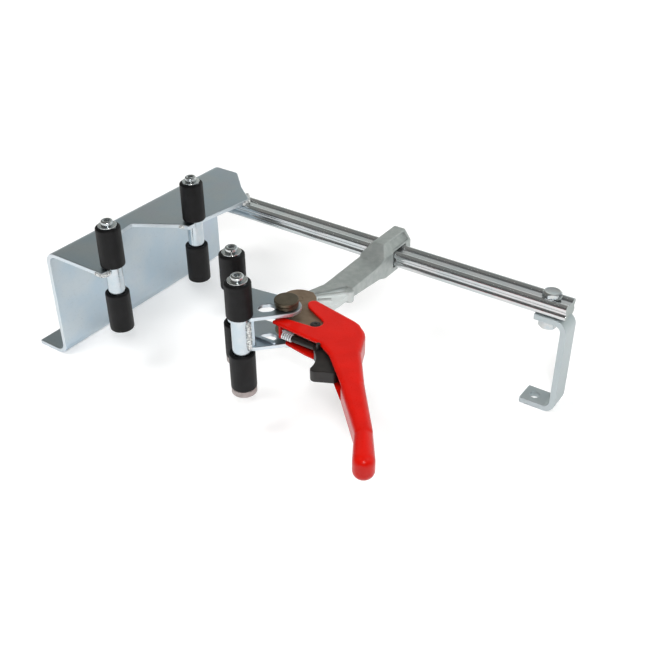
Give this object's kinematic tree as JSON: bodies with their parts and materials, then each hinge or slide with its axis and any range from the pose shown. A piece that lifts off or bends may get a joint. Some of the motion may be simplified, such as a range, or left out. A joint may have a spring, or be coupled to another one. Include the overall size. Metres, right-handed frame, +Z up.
{
  "type": "wheel clamp",
  "caption": "Floor-standing lever clamp that grips a tyre between fixed and swivelling rubber-sleeved posts; an arm with a red trigger lever slides along its rail.",
  "frame": {"origin": "centre of the anchor hole in the foot, on the floor", "axes": "+X along the rail from the fixed jaw to the foot, +Z up, the posts and the lever on the minus Y side"},
  "size_m": [0.549, 0.3623, 0.1895],
  "materials": {
    "zinc_plate": "bright zinc plating on bent sheet",
    "zinc_casting": "zinc plating on a rough casting",
    "bright_bar": "drawn bar, bright plating",
    "rubber": "matt black rubber",
    "red_coat": "thick glossy red coating",
    "brown_steel": "dark brown-grey plated steel",
    "black_plastic": "satin black plastic"
  },
  "bodies": {
    "base": {"rail": "bright_bar", "fixed_jaw": "zinc_plate", "fixed_posts": "bright_bar", "fixed_upper_sleeves": "rubber", "fixed_lower_sleeves": "rubber", "fixed_post_washers": "zinc_plate", "fixed_post_screws": "zinc_plate", "foot_bracket": "zinc_plate", "foot_washer": "zinc_plate", "foot_bolt": "zinc_plate", "foot_nut": "zinc_plate"},
    "arm": {"sliding_arm": "zinc_casting", "pivot_pin": "brown_steel"},
    "jaw": {"moving_jaw": "zinc_plate", "moving_posts": "bright_bar", "moving_upper_sleeves": "rubber", "moving_lower_sleeves": "rubber", "moving_post_washers": "zinc_plate", "moving_post_screws": "zinc_plate", "post_caps": "brown_steel"},
    "lever": {"lever": "red_coat", "upper_cheek": "brown_steel", "lower_cheek": "brown_steel", "jaw_pin": "brown_steel", "jaw_pin_collars": "zinc_plate", "jaw_pin_keeper": "brown_steel", "lever_rivet": "brown_steel", "trigger_pin": "brown_steel", "plunger_spring": "bright_bar"},
    "trigger": {"trigger": "black_plastic"},
    "plunger": {"plunger": "black_plastic"}
  },
  "joints": [
    {"name": "arm_slide", "type": "slide", "parent": "base", "child": "arm", "axis": [1, 0, 0], "range_m": [-0.09, 0.15]},
    {"name": "lever_swing", "type": "hinge", "parent": "arm", "child": "lever", "pos_m": [-0.203, -0.145, 0.122], "axis": [0, 0, 1], "range_deg": [-12, 8]},
    {"name": "jaw_swivel", "type": "hinge", "parent": "lever", "child": "jaw", "pos_m": [-0.195, -0.175, 0.122], "axis": [0, 0, 1], "range_deg": [-50, 25]},
    {"name": "trigger_pull", "type": "hinge", "parent": "lever", "child": "trigger", "pos_m": [-0.139, -0.202, 0.122], "axis": [0, 0, 1], "range_deg": [0, 12], "stiffness_Nm_per_rad": 1, "springref_deg": -5.73},
    {"name": "plunger_slide", "type": "slide", "parent": "lever", "child": "plunger", "axis": [1, 0, 0], "range_m": [-0.0018, 0], "deforming": ["plunger_spring"]}
  ],
  "couplings": [
    {"joint": "plunger_slide", "follows": "trigger_pull", "m_per_rad": -0.008}
  ]
}
